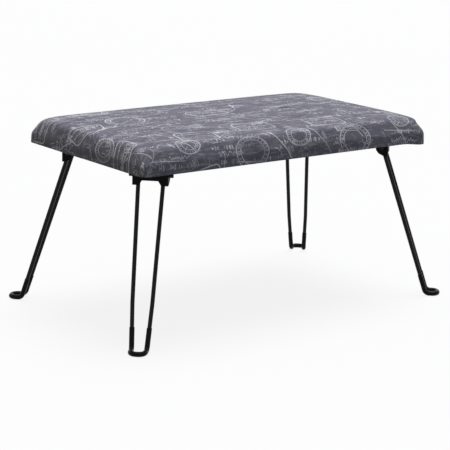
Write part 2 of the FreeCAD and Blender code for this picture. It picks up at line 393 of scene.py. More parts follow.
def bonded_lining():
    """Spunbonded sheet: matt black felted fibres, pressed together in a fine grid of dots."""
    mat, tree = start_material("Spunbonded sheet, dot pressed")
    place = add_node(tree, "ShaderNodeTexCoord").outputs["Object"]
    fibre = add_node(tree, "ShaderNodeTexNoise", {
        "Vector": place, "Scale": 1 / (2.5 * MM), "Detail": 5.0, "Roughness": 0.65})
    dots = add_node(tree, "ShaderNodeTexVoronoi", {
        "Vector": place, "Scale": 1 / (2 * MM), "Randomness": 0.1})
    relief = add_node(tree, "ShaderNodeMath", {
        0: fibre.outputs["Fac"], 1: dots.outputs["Distance"]}, operation="ADD")
    tone = add_node(tree, "ShaderNodeMix", {
        "Factor": fibre.outputs["Fac"], "A": linear("#141416"), "B": linear("#2e2e32")},
        data_type="RGBA")
    bump = add_node(tree, "ShaderNodeBump", {
        "Height": relief.outputs[0], "Strength": 0.5, "Distance": 0.2 * MM})
    close_material(tree, {
        "Base Color": tone.outputs["Result"], "Roughness": 0.85, "Sheen Weight": 0.15,
        "Normal": bump.outputs[0]})
    return mat


def staple_wire():
    """Galvanised wire: bright grey metal, a little dulled by its zinc skin."""
    mat, tree = start_material("Galvanised wire, drawn flat")
    place = add_node(tree, "ShaderNodeTexCoord").outputs["Object"]
    spangle = add_node(tree, "ShaderNodeTexNoise", {
        "Vector": place, "Scale": 1 / (1.2 * MM), "Detail": 3.0})
    tone = add_node(tree, "ShaderNodeMix", {
        "Factor": spangle.outputs["Fac"], "A": linear("#8f9195"), "B": linear("#c6c8cb")},
        data_type="RGBA")
    gloss = add_node(tree, "ShaderNodeMapRange", {
        "Value": spangle.outputs["Fac"], "To Min": 0.3, "To Max": 0.5})
    close_material(tree, {
        "Base Color": tone.outputs["Result"], "Roughness": gloss.outputs[0], "Metallic": 1.0})
    return mat


def cell_places(tree, cloth, pitch, shift, turn, wander):
    """Split the cloth into square cells and give each cell's own turned place in millimetres.

    The turn is the whole range of a cell's angle, in radians, and the cell's middle wanders over
    a share of its width. Returns the place in the cell and three random numbers of the cell.
    """
    moved = add_node(tree, "ShaderNodeVectorMath", {0: cloth, 1: shift}, operation="ADD")
    scaled = add_node(tree, "ShaderNodeVectorMath", {
        0: moved.outputs[0], "Scale": 1 / pitch}, operation="SCALE")
    cell = add_node(tree, "ShaderNodeVectorMath", {0: scaled.outputs[0]}, operation="FLOOR")
    chance = add_node(tree, "ShaderNodeTexWhiteNoise", {
        "Vector": cell.outputs[0]}, noise_dimensions="2D")
    inside = add_node(tree, "ShaderNodeVectorMath", {
        0: scaled.outputs[0], 1: cell.outputs[0]}, operation="SUBTRACT")
    centre = add_node(tree, "ShaderNodeVectorMath", {
        0: chance.outputs["Color"], 1: (wander, wander, 0.0),
        2: (0.5 - wander / 2, 0.5 - wander / 2, 0.0)}, operation="MULTIPLY_ADD")
    offset = add_node(tree, "ShaderNodeVectorMath", {
        0: inside.outputs[0], 1: centre.outputs[0]}, operation="SUBTRACT")
    angle = add_node(tree, "ShaderNodeMath", {
        0: chance.outputs["Value"], 1: turn, 2: -turn / 2}, operation="MULTIPLY_ADD")
    turned = add_node(tree, "ShaderNodeVectorRotate", {
        "Vector": offset.outputs[0], "Angle": angle.outputs[0]}, rotation_type="Z_AXIS")
    local = add_node(tree, "ShaderNodeVectorMath", {
        0: turned.outputs[0], "Scale": pitch}, operation="SCALE")
    flat = add_node(tree, "ShaderNodeVectorMath", {
        0: local.outputs[0], 1: (1.0, 1.0, 0.0)}, operation="MULTIPLY")
    numbers = add_node(tree, "ShaderNodeSeparateColor", {0: chance.outputs["Color"]})
    return flat.outputs[0], numbers.outputs


def stroke(tree, distance, width):
    """Printed stroke: 1 on the line and 0 off it, fading softly over each edge."""
    soft = 0.35
    size = add_node(tree, "ShaderNodeMath", {0: distance}, operation="ABSOLUTE")
    return add_node(tree, "ShaderNodeMapRange", {
        "Value": size.outputs[0], "From Min": width / 2 + soft,
        "From Max": width / 2 - soft}).outputs[0]


def only_where(tree, mark, value, low, high):
    """The mark, kept where the value lies between low and high."""
    middle = (low + high) / 2
    inside = add_node(tree, "ShaderNodeMath", {
        0: value, 1: middle, 2: (high - low) / 2}, operation="COMPARE")
    return add_node(tree, "ShaderNodeMath", {
        0: mark, 1: inside.outputs[0]}, operation="MULTIPLY").outputs[0]


def join_marks(tree, marks, *others):
    """The strongest of several marks at each place."""
    for mark in others:
        marks = add_node(tree, "ShaderNodeMath", {
            0: marks, 1: mark}, operation="MAXIMUM").outputs[0]
    return marks


def ring_marks(tree, cloth):
    """Double rings with short ticks between them, each cell's own size, in two cells of five."""
    largest = 45.0
    size_range = 19.0
    band = 11.0
    ticks_round = 24
    place, number = cell_places(
        tree, cloth, pitch=148.0, shift=(31.0, 12.0, 0.0), turn=6.0, wander=0.35)
    reach = add_node(tree, "ShaderNodeVectorMath", {0: place}, operation="LENGTH")
    size = add_node(tree, "ShaderNodeMath", {
        0: number["Green"], 1: size_range, 2: -largest}, operation="MULTIPLY_ADD")
    outer = add_node(tree, "ShaderNodeMath", {
        0: reach.outputs["Value"], 1: size.outputs[0]}, operation="ADD")
    inner = add_node(tree, "ShaderNodeMath", {0: outer.outputs[0], 1: band}, operation="ADD")
    between = add_node(tree, "ShaderNodeMath", {
        0: outer.outputs[0], 1: band / 2}, operation="ADD")
    split = add_node(tree, "ShaderNodeSeparateXYZ", {0: place})
    bearing = add_node(tree, "ShaderNodeMath", {
        0: split.outputs["Y"], 1: split.outputs["X"]}, operation="ARCTAN2")
    steps = add_node(tree, "ShaderNodeMath", {
        0: bearing.outputs[0], 1: ticks_round / (2 * math.pi)}, operation="MULTIPLY")
    part = add_node(tree, "ShaderNodeMath", {0: steps.outputs[0]}, operation="FRACT")
    ticks = stroke(tree, between.outputs[0], width=4.5)
    ticks = only_where(tree, ticks, part.outputs[0], 0.0, 0.25)
    marks = join_marks(
        tree, stroke(tree, outer.outputs[0], width=3.0),
        stroke(tree, inner.outputs[0], width=2.0), ticks)
    return only_where(tree, marks, number["Red"], 0.0, 0.4)


def frame_marks(tree, cloth):
    """Round-cornered frames ruled across inside, each at its own slant, in three cells of five."""
    half_size = (34.0, 17.0, 0.0)
    rounding = 11.0
    ruling = 9.0
    swing = 7.0
    place, number = cell_places(
        tree, cloth, pitch=176.0, shift=(-40.0, 66.0, 0.0), turn=0.7, wander=0.3)
    size = add_node(tree, "ShaderNodeVectorMath", {0: place}, operation="ABSOLUTE")
    past = add_node(tree, "ShaderNodeVectorMath", {
        0: size.outputs[0], 1: half_size}, operation="SUBTRACT")
    out = add_node(tree, "ShaderNodeVectorMath", {
        0: past.outputs[0], 1: (0.0, 0.0, 0.0)}, operation="MAXIMUM")
    reach = add_node(tree, "ShaderNodeVectorMath", {0: out.outputs[0]}, operation="LENGTH")
    edge = add_node(tree, "ShaderNodeMath", {
        0: reach.outputs["Value"], 1: rounding}, operation="SUBTRACT")
    split = add_node(tree, "ShaderNodeSeparateXYZ", {0: place})
    waver = add_node(tree, "ShaderNodeTexNoise", {
        "Vector": place, "Scale": 0.16, "Detail": 1.0}, noise_dimensions="2D")
    wavy = add_node(tree, "ShaderNodeMath", {
        0: waver.outputs["Fac"], 1: swing, 2: split.outputs["Y"]}, operation="MULTIPLY_ADD")
    row = add_node(tree, "ShaderNodeMath", {0: wavy.outputs[0], 1: ruling}, operation="PINGPONG")
    rules = stroke(tree, row.outputs[0], width=2.0)
    rules = only_where(tree, rules, edge.outputs[0], -30.0, -6.5)
    marks = join_marks(tree, stroke(tree, edge.outputs[0], width=3.0), rules)
    return only_where(tree, marks, number["Blue"], 0.0, 0.6)


def cloth_rows(tree, cloth, pitch, tilt):
    """Split the cloth into slanting rows: the place along a row, its number, and the place across.

    Lengths are in millimetres, and the place across is measured from the row's middle.
    """
    turned = add_node(tree, "ShaderNodeVectorRotate", {
        "Vector": cloth, "Angle": tilt}, rotation_type="Z_AXIS")
    split = add_node(tree, "ShaderNodeSeparateXYZ", {0: turned.outputs[0]})
    count = add_node(tree, "ShaderNodeMath", {
        0: split.outputs["Y"], 1: pitch}, operation="DIVIDE")
    row = add_node(tree, "ShaderNodeMath", {0: count.outputs[0]}, operation="FLOOR")
    part = add_node(tree, "ShaderNodeMath", {
        0: count.outputs[0], 1: row.outputs[0]}, operation="SUBTRACT")
    across = add_node(tree, "ShaderNodeMath", {
        0: part.outputs[0], 1: pitch, 2: -pitch / 2}, operation="MULTIPLY_ADD")
    line = add_node(tree, "ShaderNodeCombineXYZ", {
        "X": split.outputs["X"], "Y": row.outputs[0]})
    return line.outputs[0], across.outputs[0]


def row_noise(tree, line, length, shift, detail=0.0):
    """Slow random value along a row, changing over a length in millimetres, each row its own."""
    apart = 7.3
    drawn = add_node(tree, "ShaderNodeMapping", {
        "Vector": line, "Scale": (1 / length, apart, 1.0), "Location": (shift, shift, 0.0)})
    return add_node(tree, "ShaderNodeTexNoise", {
        "Vector": drawn.outputs[0], "Scale": 1.0, "Detail": detail},
        noise_dimensions="2D").outputs["Fac"]


def wavy_marks(tree, cloth, pitch, tilt, wave, swing, shift):
    """Rows of wavering strokes, broken off here and there as a hand would lift the chalk."""
    line, across = cloth_rows(tree, cloth, pitch, tilt)
    wiggle = row_noise(tree, line, wave, shift)
    target = add_node(tree, "ShaderNodeMath", {
        0: wiggle, 1: 2 * swing, 2: -swing}, operation="MULTIPLY_ADD")
    away = add_node(tree, "ShaderNodeMath", {
        0: across, 1: target.outputs[0]}, operation="SUBTRACT")
    drawn = row_noise(tree, line, 70.0, shift + 4.7)
    return only_where(tree, stroke(tree, away.outputs[0], width=2.8), drawn, 0.53, 1.0)


def hatch_marks(tree, cloth, pitch, tilt, tall, shift):
    """Rows of short upright dashes of uneven height, in clusters along a row."""
    line, across = cloth_rows(tree, cloth, pitch, tilt)
    dashes = add_node(tree, "ShaderNodeMapRange", {
        "Value": row_noise(tree, line, 2.4, shift, 1.0), "From Min": 0.5, "From Max": 0.6})
    height = add_node(tree, "ShaderNodeMath", {
        0: row_noise(tree, line, 6.0, shift + 2.1), 1: tall}, operation="MULTIPLY")
    reach = add_node(tree, "ShaderNodeMath", {0: across}, operation="ABSOLUTE")
    inside = add_node(tree, "ShaderNodeMath", {
        0: reach.outputs[0], 1: height.outputs[0]}, operation="LESS_THAN")
    marks = add_node(tree, "ShaderNodeMath", {
        0: dashes.outputs[0], 1: inside.outputs[0]}, operation="MULTIPLY").outputs[0]
    for cluster, later, least in ((17.0, 5.5, 0.42), (90.0, 8.2, 0.5)):
        there = row_noise(tree, line, cluster, shift + later)
        marks = only_where(tree, marks, there, least, 1.0)
    return marks


def rule_marks(tree, cloth, pitch, tilt, shift):
    """Long straight strokes drawn as along a ruler, a few hand's breadths apart."""
    line, across = cloth_rows(tree, cloth, pitch, tilt)
    marks = stroke(tree, across, width=2.4)
    return only_where(tree, marks, row_noise(tree, line, 110.0, shift), 0.54, 1.0)


def sweep_marks(tree, cloth):
    """Long thin curving flourishes: a level line of a slow wave over the cloth."""
    slow = add_node(tree, "ShaderNodeTexNoise", {
        "Vector": cloth, "Scale": 1 / 120, "Detail": 0.0}, noise_dimensions="2D")
    away = add_node(tree, "ShaderNodeMath", {
        0: slow.outputs["Fac"], 1: 260.0, 2: -137.0}, operation="MULTIPLY_ADD")
    far = add_node(tree, "ShaderNodeTexNoise", {
        "Vector": cloth, "Scale": 1 / 170, "Detail": 0.0}, noise_dimensions="2D")
    marks = stroke(tree, away.outputs[0], width=2.4)
    return only_where(tree, marks, far.outputs["Fac"], 0.47, 1.0)


def chalk_print(tree, cloth, fade):
    """Share of chalk on the cloth: the strokes, rubbed and faded in patches, and long smears."""
    marks = join_marks(
        tree, ring_marks(tree, cloth), frame_marks(tree, cloth),
        wavy_marks(tree, cloth, pitch=47.0, tilt=0.04, wave=5.5, swing=11.0, shift=0.0),
        wavy_marks(tree, cloth, pitch=81.0, tilt=-0.36, wave=9.0, swing=22.0, shift=3.3),
        hatch_marks(tree, cloth, pitch=37.0, tilt=0.03, tall=9.0, shift=1.7),
        hatch_marks(tree, cloth, pitch=71.0, tilt=-0.3, tall=17.0, shift=6.1),
        rule_marks(tree, cloth, pitch=97.0, tilt=1.05, shift=2.2),
        rule_marks(tree, cloth, pitch=83.0, tilt=0.12, shift=5.2),
        sweep_marks(tree, cloth))
    rub = add_node(tree, "ShaderNodeTexNoise", {
        "Vector": cloth, "Scale": 1 / 2.6, "Detail": 3.0}, noise_dimensions="2D")
    worn = add_node(tree, "ShaderNodeMapRange", {
        "Value": rub.outputs["Fac"], "From Min": 0.34, "From Max": 0.52, "To Min": 0.5})
    faded = add_node(tree, "ShaderNodeMapRange", {
        "Value": fade, "From Min": 0.35, "From Max": 0.6, "To Min": 0.5})
    kept = add_node(tree, "ShaderNodeMath", {
        0: worn.outputs[0], 1: faded.outputs[0]}, operation="MULTIPLY")
    ink = add_node(tree, "ShaderNodeMath", {0: marks, 1: kept.outputs[0]}, operation="MULTIPLY")
    # Smears some 33 mm long and 6 mm high
    dust = add_node(tree, "ShaderNodeMapping", {"Vector": cloth, "Scale": (0.03, 0.16, 1.0)})
    smear = add_node(tree, "ShaderNodeTexNoise", {
        "Vector": dust.outputs[0], "Scale": 1.0, "Detail": 5.0, "Roughness": 0.62},
        noise_dimensions="2D")
    smears = add_node(tree, "ShaderNodeMapRange", {
        "Value": smear.outputs["Fac"], "From Min": 0.52, "From Max": 0.8, "To Max": 0.4})
    return join_marks(tree, ink.outputs[0], smears.outputs[0])


def woven_threads(tree, cloth):
    """The two sets of threads: how thick and pale they run, and the relief of the weave.

    The threads lie at 1.1 mm, coarser than real canvas, so that they show in a picture of the
    whole bench.
    """
    spacing = 1.1
    # Slubs to a millimetre, along a thread and across it
    along = 0.07
    across = 0.8
    slubs = []
    ridges = []
    for scale, bands in (((along, across, 1.0), "X"), ((across, along, 1.0), "Y")):
        drawn = add_node(tree, "ShaderNodeMapping", {"Vector": cloth, "Scale": scale})
        slubs.append(add_node(tree, "ShaderNodeTexNoise", {
            "Vector": drawn.outputs[0], "Scale": 1.0, "Detail": 2.0},
            noise_dimensions="2D").outputs["Fac"])
        ridges.append(add_node(tree, "ShaderNodeTexWave", {
            "Vector": cloth, "Scale": math.pi / (10 * spacing), "Distortion": 0.4,
            "Detail Scale": 0.5}, bands_direction=bands).outputs["Fac"])
    heather = add_node(tree, "ShaderNodeMath", {0: slubs[0], 1: slubs[1]}, operation="MULTIPLY")
    weave = add_node(tree, "ShaderNodeMath", {0: ridges[0], 1: ridges[1]}, operation="MAXIMUM")
    relief = add_node(tree, "ShaderNodeMath", {
        0: weave.outputs[0], 1: heather.outputs[0]}, operation="ADD")
    return heather.outputs[0], relief.outputs[0]


def printed_cotton(colour):
    """Plain-woven cotton canvas with slubby threads, printed with worn chalk-like strokes.

    The print is rings with ticks, ruled frames, scribbled and hatched rows, and flourishes.
    """
    mat, tree = start_material("Cotton canvas, woven and printed")
    chart = add_node(tree, "ShaderNodeUVMap", uv_map="cloth")
    cloth = add_node(tree, "ShaderNodeVectorMath", {
        0: chart.outputs[0], "Scale": 1 / MM}, operation="SCALE").outputs[0]
    fade = add_node(tree, "ShaderNodeTexNoise", {
        "Vector": cloth, "Scale": 1 / 75, "Detail": 2.0}, noise_dimensions="2D").outputs["Fac"]
    ink = chalk_print(tree, cloth, fade)
    heather, relief = woven_threads(tree, cloth)
    smudge = add_node(tree, "ShaderNodeMath", {
        0: fade, 1: 0.3, 2: heather}, operation="MULTIPLY_ADD")
    paler = add_node(tree, "ShaderNodeMapRange", {
        "Value": smudge.outputs[0], "From Min": 0.24, "From Max": 0.56})
    ground = add_node(tree, "ShaderNodeMix", {
        "Factor": paler.outputs[0], "A": colour.cloth, "B": colour.slub}, data_type="RGBA")
    printed = add_node(tree, "ShaderNodeMix", {
        "Factor": ink, "A": ground.outputs["Result"], "B": colour.chalk}, data_type="RGBA")
    bump = add_node(tree, "ShaderNodeBump", {
        "Height": relief, "Strength": 0.5, "Distance": 0.25 * MM})
    close_material(tree, {
        "Base Color": printed.outputs["Result"], "Roughness": 0.92, "IOR": 1.45,
        "Specular IOR Level": 0.2, "Sheen Weight": 0.12, "Sheen Roughness": 0.45,
        "Sheen Tint": linear("#c9c8d4"), "Normal": bump.outputs[0]})
    return mat


# Seat

# Flat cloth that the rolled-over foam takes up beyond the seat's outline
ROLL_SPARE = 18 * MM
# Up any side over the foam, in millimetres: cloth length, and inset from the seat's outline
FOAM_ROLL = [
    (0.0, 0.8), (3.2, 2.0), (11.7, 4.8), (20.5, 8.5), (26.0, 11.0), (32.0, 14.5),
    (38.0, 20.0), (44.0, 26.0),
]
# Share of the local height at an inset, for the long sides and for the ends
SIDE_RISE = [
    (0.0, 0.40), (0.8, 0.43), (3.0, 0.52), (6.0, 0.64), (9.0, 0.755), (12.0, 0.865),
    (14.0, 0.925), (16.5, 0.968), (20.0, 0.99), (26.0, 1.0),
]
END_RISE = [
    (0.0, 0.33), (0.8, 0.37), (3.0, 0.49), (8.0, 0.715), (12.0, 0.86), (15.0, 0.93),
    (20.0, 0.968), (28.0, 0.99), (40.0, 1.0),
]
# Fall of the top from its crown in millimetres, by the distance from a long side and from an end
SIDE_FALL = [
    (0.0, 11.5), (22.0, 9.9), (40.0, 7.9), (60.0, 6.2), (90.0, 3.9), (120.0, 2.2),
    (160.0, 0.8), (228.0, 0.0),
]
END_FALL = [
    (0.0, 9.8), (13.0, 10.2), (22.0, 9.8), (40.0, 7.8), (70.0, 5.2), (110.0, 2.8),
    (170.0, 1.0), (240.0, 0.0),
]
# How the two falls join at a corner: 1 adds them up, and a high number takes the larger
FALL_JOIN = 2.5
# Half the width, in millimetres, over which the ends' rise gives way to the long sides' rise
RISE_JOIN = 14.0
# Growth of an upright corner's rounding with the inset, and the inset where it stops growing,
# all but the front right one
GROWTH_LEFT = 0.8
GROWTH_BACK_RIGHT = 0.3
GROWTH_FRONT_RIGHT = 0.2
GROWTH_END = 30 * MM
# Front right corner: how much rounder it is at its edge and where it is drawn tightest, and
# the insets in millimetres where the tight band starts, is tightest and ends
CORNER_EASE = 1 * MM
CORNER_TIGHT = 11 * MM
TIGHT_BAND = (1.5, 10.0, 16.0)
# Hanging of the lower rim in millimetres: along the back, along the front, and what the front
# right corner adds
RIM_BACK = 0.4
RIM_FRONT = 1.2
RIM_CORNER = 7.0
# Where the rim's hanging fades out, in millimetres: away from the corner, towards the front's
# ends, up the side, and in under the board between two insets
FADE_CORNER = 75.0
FADE_END = 30.0
FADE_UP = 34.0
FADE_UNDER = (4.0, 12.0)
# Rings of the cover down its side: inset in millimetres, and share of the height before it
SIDE_RINGS = ((0.5, 0.74), (0.2, 0.5), (0.0, 0.27), (0.1, 0.1), (0.5, 0.03))
# Rings under the board, up to the hem: inset in millimetres
UNDER_RINGS = (1.6, 4.0, 12.0)
# Width of the cover's inner turn on the board, in from the board's edge
INNER_TURN = 8 * MM
# A normal whose Z is less than this faces down
FACES_DOWN = -0.5
# How firmly the cloth is held while the foam pushes: over the sides, and in the top's middle
HELD_EDGE = 0.75
HELD_MIDDLE = 0.25
# Insets between which the hold slackens, and the height under which nothing moves
HOLD_FADE = (10 * MM, 60 * MM)
HOLD_WHOLE = 20 * MM
SETTLE_STEPS = 20


def round_corner(x, y, half_x, half_y, radius):
    """Point of a rectangle's outline moved onto its rounded corner."""
    dx = abs(x) - (half_x - radius)
    dy = abs(y) - (half_y - radius)
    if dx <= 0 or dy <= 0:
        return x, y
    reach = math.hypot(dx, dy)
    side = max(dx, dy)
    return (math.copysign(half_x - radius + dx * side / reach, x),
            math.copysign(half_y - radius + dy * side / reach, y))


def corner_radius(x, y, ring, seat):
    """Rounding of an upright corner at an inset: the left pair's and each right one's differ."""
    if y < 0 < x:
        start, most, end = TIGHT_BAND
        tight = smoothstep(start, most, ring / MM) - smoothstep(most, end, ring / MM)
        return seat.corner + CORNER_EASE + CORNER_TIGHT * tight + ring * GROWTH_FRONT_RIGHT
    growth = GROWTH_BACK_RIGHT if x > 0 else GROWTH_LEFT
    return seat.corner + min(ring, GROWTH_END) * growth


def top_height(x, y, seat):
    """Height of the padded top over the seat's lower edge."""
    side = read_table(SIDE_FALL, (HALF_Y - abs(y)) / MM)
    end = read_table(END_FALL, (HALF_X - abs(x)) / MM)
    return seat.deep - (side ** FALL_JOIN + end ** FALL_JOIN) ** (1 / FALL_JOIN) * MM


def drape_cover(bm, seat):
    """Lay a flat grid over the foam: a crowned top, soft shoulders and rounded corners."""
    wide = HALF_X + ROLL_SPARE
    deep = HALF_Y + ROLL_SPARE
    bmesh.ops.create_grid(
        bm, x_segments=round(2 * wide / seat.loop), y_segments=round(2 * deep / seat.loop),
        size=0.5, matrix=Matrix.Diagonal((2 * wide, 2 * deep, 1, 1)))
    for vert in bm.verts:
        x, y, _ = vert.co
        from_end = (wide - abs(x)) / MM
        from_side = (deep - abs(y)) / MM
        insets = []
        for length in (from_end, from_side):
            beyond = max(0.0, length - FOAM_ROLL[-1][0])
            insets.append((read_table(FOAM_ROLL, length) + beyond) * MM)
        x = math.copysign(HALF_X - insets[0], x) if abs(x) > 1e-9 else 0.0
        y = math.copysign(HALF_Y - insets[1], y) if abs(y) > 1e-9 else 0.0
        ring = min(insets)
        x, y = round_corner(
            x, y, HALF_X - ring, HALF_Y - ring, corner_radius(x, y, ring, seat))
        end_share = smoothstep(-RISE_JOIN, RISE_JOIN, from_side - from_end)
        share = read_table(SIDE_RISE, ring / MM) * (1 - end_share)
        share += read_table(END_RISE, ring / MM) * end_share
        vert.co = (x, y, SEAT_LOW + share * top_height(x, y, seat))


def pull_edge(bm, edges, inset, height=0.0, share=0.0):
    """Extrude the open edge and lay it at an inset, at a height plus a share of its own."""
    made = bmesh.ops.extrude_edge_only(bm, edges=edges)["geom"]
    verts = [g for g in made if isinstance(g, bmesh.types.BMVert)]
    old_x = max(abs(v.co.x) for v in verts)
    old_y = max(abs(v.co.y) for v in verts)
    half_x = HALF_X - inset
    half_y = HALF_Y - inset
    for vert in verts:
        x, y, z = vert.co
        vert.co = (
            x * half_x / old_x, y * half_y / old_y, SEAT_LOW + height + (z - SEAT_LOW) * share)
    return [g for g in made if isinstance(g, bmesh.types.BMEdge)]


def hang_rim(vert):
    """Let the cover's lower rim hang: a little at the back and front, most at the front right."""
    x, y = vert.co.x, vert.co.y
    up = (vert.co.z - SEAT_LOW) / MM
    inset = min(HALF_X - abs(x), HALF_Y - abs(y)) / MM
    near = 1 - smoothstep(0.0, FADE_CORNER, math.hypot(HALF_X - x, HALF_Y + y) / MM)
    rim = RIM_BACK
    if y < 0:
        rim = RIM_FRONT * smoothstep(0.0, FADE_END, (HALF_X - abs(x)) / MM)
    low = (1 - smoothstep(0.0, FADE_UP, up)) * (1 - smoothstep(*FADE_UNDER, inset))
    vert.co.z -= low * (rim + RIM_CORNER * near) * MM


def wrap_cover(bm, seat):
    """Take the cover down the sides, under the board and back up round its edge."""
    edges = [e for e in bm.edges if e.is_boundary]
    for inset, share in SIDE_RINGS:
        edges = pull_edge(bm, edges, inset * MM, share=share)
    for inset in UNDER_RINGS:
        edges = pull_edge(bm, edges, inset * MM)
    edges = pull_edge(bm, edges, seat.hem)
    for vert in bm.verts:
        hang_rim(vert)
    floor = BOARD_LO.z - SEAT_LOW - seat.gap
    roof = BOARD_HI.z - SEAT_LOW + seat.gap
    for inset, height in (
            (seat.hem, floor), (seat.skin, floor), (seat.skin, roof),
            (seat.skin + INNER_TURN, roof)):
        edges = pull_edge(bm, edges, inset, height)
    bmesh.ops.recalc_face_normals(bm, faces=bm.faces)


def close_foam(obj):
    """Close the foam's flat underside, which lies on the board."""
    bm = bmesh.new()
    bm.from_mesh(obj.data)
    edges = [e for e in bm.edges if e.is_boundary]
    flat = bmesh.ops.holes_fill(bm, edges=edges)["faces"]
    bmesh.ops.triangulate(bm, faces=flat)
    bmesh.ops.recalc_face_normals(bm, faces=bm.faces)
    bm.to_mesh(obj.data)
    bm.free()


def chart_cloth(obj, seat):
    """Lay the cloth's chart: flat on top, carried on down the sides by the distance fallen, and
    folded under with a mitre at each corner.
    """
    mesh = obj.data
    layer = mesh.uv_layers.new(name="cloth")
    spots = []
    for vert in mesh.vertices:
        x, y, z = vert.co
        fallen = max(0.0, top_height(x, y, seat) - (z - SEAT_LOW))
        push_x = abs(vert.normal.x)
        push_y = abs(vert.normal.y)
        whole = max(1e-6, push_x + push_y)
        u = x + math.copysign(fallen * push_x / whole, x)
        v = y + math.copysign(fallen * push_y / whole, y)
        spots.append((u, v))
    for face in mesh.polygons:
        in_x = HALF_X - abs(face.center.x)
        in_y = HALF_Y - abs(face.center.y)
        for index in face.loop_indices:
            point = mesh.loops[index].vertex_index
            spot = spots[point]
            if face.normal.z < FACES_DOWN:
                x, y, z = mesh.vertices[point].co
                fallen = seat.deep + SEAT_LOW - z
                if in_x < in_y:
                    spot = (math.copysign(2 * HALF_X - abs(x) + fallen, x), y)
                else:
                    spot = (x, math.copysign(2 * HALF_Y - abs(y) + fallen, y))
            layer.data[index].uv = spot


def settle_foam(obj, seat):
    """Let the foam push the free cover out as cloth under pressure, held where it is tight."""
    held = obj.vertex_groups.new(name="held")
    rest = []
    for vert in obj.data.vertices:
        rest.append(vert.co.copy())
        z = vert.co.z - SEAT_LOW
        inset = min(HALF_X - abs(vert.co.x), HALF_Y - abs(vert.co.y))
        hold = HELD_EDGE - (HELD_EDGE - HELD_MIDDLE) * smoothstep(*HOLD_FADE, inset)
        if z < HOLD_WHOLE or vert.normal.z < FACES_DOWN:
            hold = 1.0
        held.add([vert.index], hold, "REPLACE")
    mod = obj.modifiers.new("foam pressure", "CLOTH")
    cloth = mod.settings
    cloth.quality = 5
    cloth.mass = 0.3
    cloth.tension_stiffness = 18
    cloth.compression_stiffness = 18
    cloth.shear_stiffness = 8
    cloth.bending_stiffness = 0.8
    cloth.use_pressure = True
    cloth.uniform_pressure_force = 4.0
    cloth.vertex_group_mass = "held"
    cloth.effector_weights.gravity = 0.0
    mod.collision_settings.use_collision = False
    mod.collision_settings.use_self_collision = False
    scene = bpy.context.scene
    for step in range(SETTLE_STEPS):
        scene.frame_set(step + 1)
    settle(obj)
    scene.frame_set(1)
    for vert, start in zip(obj.data.vertices, rest):
        move = vert.co - start
        if move.length > seat.swell:
            vert.co = start + move * (seat.swell / move.length)


class BENCH_OT_padded_seat(bpy.types.Operator):
    """Make the padded seat: foam and printed cover as one closed form round the board"""

    bl_idname = "bench.padded_seat"
    bl_label = "Padded seat"

    def execute(self, context):
        seat = context.scene.bench.seat
        bm = bmesh.new()
        drape_cover(bm, seat)
        wrap_cover(bm, seat)
        obj = new_object("padded_seat", bm, 60)
        settle_foam(obj, seat)
        smooth = obj.modifiers.new("soft cloth", "SUBSURF")
        smooth.levels = smooth.render_levels = 1
        settle(obj)
        close_foam(obj)
        chart_cloth(obj, seat)
        for face in obj.data.polygons:
            face.use_smooth = True
        material = printed_cotton(context.scene.bench.colour)
        finish_piece(obj, "seat", "cover", material, "fabric_cover", "foam_pad")
        return {"FINISHED"}


class BENCH_OT_board(bpy.types.Operator):
    """Finish the board inside the seat as plywood"""

    bl_idname = "bench.board"
    bl_label = "Seat board"

    def execute(self, context):
        board = FRAME["nodes"]["seat_board"]
        board.data.materials.clear()
        board.data.materials.append(plywood())
        return {"FINISHED"}


# Dust cover: thickness of the sheet, its corners' radius, and its cells along X and Y
LINING_THICK = 0.6 * MM
LINING_CORNER = 8 * MM
LINING_CELLS = (76, 44)
# How far in from the hem's edge it steps up to the board, and where the cuts for the step lie
LAP_STEP = (0.4 * MM, 6 * MM)
LAP_CUTS = (0.3 * MM, 3 * MM, 6.2 * MM)
# Distances between which its sag sets in: from the seat's outside, and from a leg's pivot
SAG_FROM_RIM = (40 * MM, 90 * MM)
SAG_FROM_PIVOT = (60 * MM, 110 * MM)


def lining_height(x, y, seat):
    """Middle height of the dust cover: over the hem at its rim, then against the board.

    Away from the staples and brackets it sags, in ripples some 45 and 17 mm long.
    """
    inset = min(HALF_X - abs(x), HALF_Y - abs(y))
    low = LINING_LO.z + LINING_THICK / 2
    high = LINING_HI.z - LINING_THICK / 2
    start, end = LAP_STEP
    z = low + (high - low) * smoothstep(seat.hem + start, seat.hem + end, inset)
    free = smoothstep(*SAG_FROM_RIM, inset)
    for _, _, _, pivot in CORNERS:
        free *= smoothstep(*SAG_FROM_PIVOT, math.hypot(x - pivot.x, y - pivot.y))
    ripple = noise.noise(Vector((x * 22, y * 9, 3.0)))
    ripple += 0.5 * noise.noise(Vector((x * 60, y * 34, 9.0)))
    return z - free * seat.slack * (0.55 + 0.45 * ripple)


